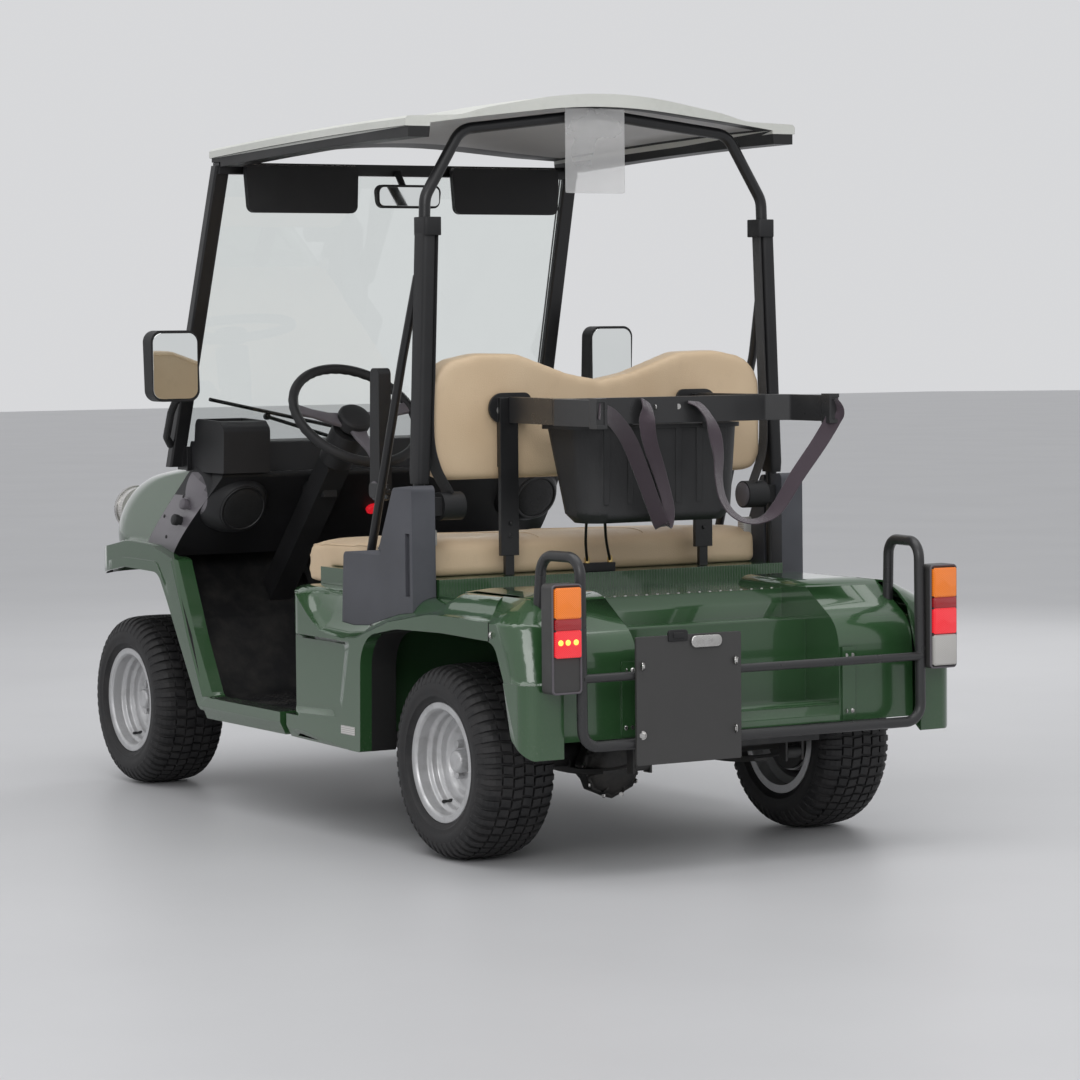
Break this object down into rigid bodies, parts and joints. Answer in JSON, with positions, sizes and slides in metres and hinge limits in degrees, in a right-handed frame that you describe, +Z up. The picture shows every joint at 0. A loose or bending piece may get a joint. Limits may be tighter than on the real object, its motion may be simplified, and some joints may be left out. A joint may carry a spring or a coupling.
{
  "type": "golf cart",
  "caption": "Open two-seat electric golf cart with roof, windshield, bag rack, basket, rear guard rail and steered front wheels.",
  "frame": {"origin": "on the ground under the middle of the cart's length and width", "axes": "+X forward along the cart, +Y to the driver's left, +Z up"},
  "size_m": [2.518, 1.4784, 1.8132],
  "materials": {
    "green_paint": "gloss",
    "black_plastic": "satin",
    "grey_plastic": "matt",
    "beige_leather": "satin",
    "black_metal": "satin",
    "clear_glass": "polished",
    "clear_film": "satin",
    "lamp_glass": "polished",
    "lamp_red": "gloss",
    "white_plastic": "satin",
    "webbing": "matt",
    "battery_case": "matt",
    "chassis_steel": "satin",
    "tyre": "matt",
    "rim_silver": "satin"
  },
  "bodies": {
    "chassis": {"front_body": "green_paint", "side_panels": "green_paint", "rear_body": "green_paint", "rear_quarters": "green_paint", "seat_base": "green_paint", "bumper": "black_plastic", "dash_body": "black_plastic", "floor_pan": "black_plastic", "mirrors": "black_plastic", "sun_visors": "black_plastic", "basket": "black_plastic", "driver_controls": "black_plastic", "wiper": "black_plastic", "side_covers": "grey_plastic", "seat_cushion": "beige_leather", "seat_back": "beige_leather", "rear_hoop": "black_metal", "front_frame": "black_metal", "rack_uprights": "black_metal", "rack_bar": "black_metal", "rear_rail": "black_metal", "plate_panel": "grey_plastic", "windshield": "clear_glass", "roof": "white_plastic", "document_sleeve": "clear_film", "head_lamps": "lamp_glass", "tail_lamps": "lamp_red", "straps": "webbing", "belts": "black_plastic", "battery_block": "battery_case", "chassis_frame": "chassis_steel", "rear_axle": "chassis_steel", "front_axle": "chassis_steel"},
    "wheel_rl": {"tyre_rl": "tyre", "rim_rl": "rim_silver"},
    "wheel_rr": {"tyre_rr": "tyre", "rim_rr": "rim_silver"},
    "wheel_fl": {"tyre_fl": "tyre", "rim_fl": "rim_silver"},
    "wheel_fr": {"tyre_fr": "tyre", "rim_fr": "rim_silver"},
    "knuckle_left": {"knuckle_left": "chassis_steel"},
    "knuckle_right": {"knuckle_right": "chassis_steel"},
    "tie_rod": {"tie_rod": "chassis_steel"},
    "steering_wheel": {"steering_wheel": "black_plastic"},
    "armrest_left": {"armrest_left": "grey_plastic"},
    "armrest_right": {"armrest_right": "grey_plastic"}
  },
  "joints": [
    {"name": "wheel_rl_spin", "type": "hinge", "parent": "chassis", "child": "wheel_rl", "pos_m": [-0.756, 0.48, 0.23], "axis": [0, 1, 0], "continuous": true},
    {"name": "wheel_rr_spin", "type": "hinge", "parent": "chassis", "child": "wheel_rr", "pos_m": [-0.756, -0.48, 0.23], "axis": [0, 1, 0], "continuous": true},
    {"name": "steer_left", "type": "hinge", "parent": "chassis", "child": "knuckle_left", "pos_m": [0.974, 0.4, 0.23], "axis": [0, 0, 1], "range_deg": [-28, 28]},
    {"name": "steer_right", "type": "hinge", "parent": "chassis", "child": "knuckle_right", "pos_m": [0.974, -0.4, 0.23], "axis": [0, 0, 1], "range_deg": [-28, 28]},
    {"name": "tie_rod_pivot", "type": "hinge", "parent": "knuckle_left", "child": "tie_rod", "pos_m": [0.899, 0.4, 0.18], "axis": [0, 0, 1], "range_deg": [-28, 28]},
    {"name": "wheel_fl_spin", "type": "hinge", "parent": "knuckle_left", "child": "wheel_fl", "pos_m": [0.974, 0.485, 0.23], "axis": [0, 1, 0], "continuous": true},
    {"name": "wheel_fr_spin", "type": "hinge", "parent": "knuckle_right", "child": "wheel_fr", "pos_m": [0.974, -0.485, 0.23], "axis": [0, 1, 0], "continuous": true},
    {"name": "steering_wheel_turn", "type": "hinge", "parent": "chassis", "child": "steering_wheel", "pos_m": [0.244, 0.25, 1.02], "axis": [0.6947, 0, -0.7193], "range_deg": [-450, 450]},
    {"name": "armrest_left_fold", "type": "hinge", "parent": "chassis", "child": "armrest_left", "pos_m": [-0.29, 0.469, 0.85], "axis": [0, 1, 0], "range_deg": [0, 90]},
    {"name": "armrest_right_fold", "type": "hinge", "parent": "chassis", "child": "armrest_right", "pos_m": [-0.29, -0.469, 0.85], "axis": [0, 1, 0], "range_deg": [0, 90]}
  ],
  "couplings": [
    {"joint": "steer_right", "follows": "steer_left", "ratio": 1},
    {"joint": "tie_rod_pivot", "follows": "steer_left", "ratio": -1},
    {"joint": "steering_wheel_turn", "follows": "steer_left", "ratio": -16}
  ]
}
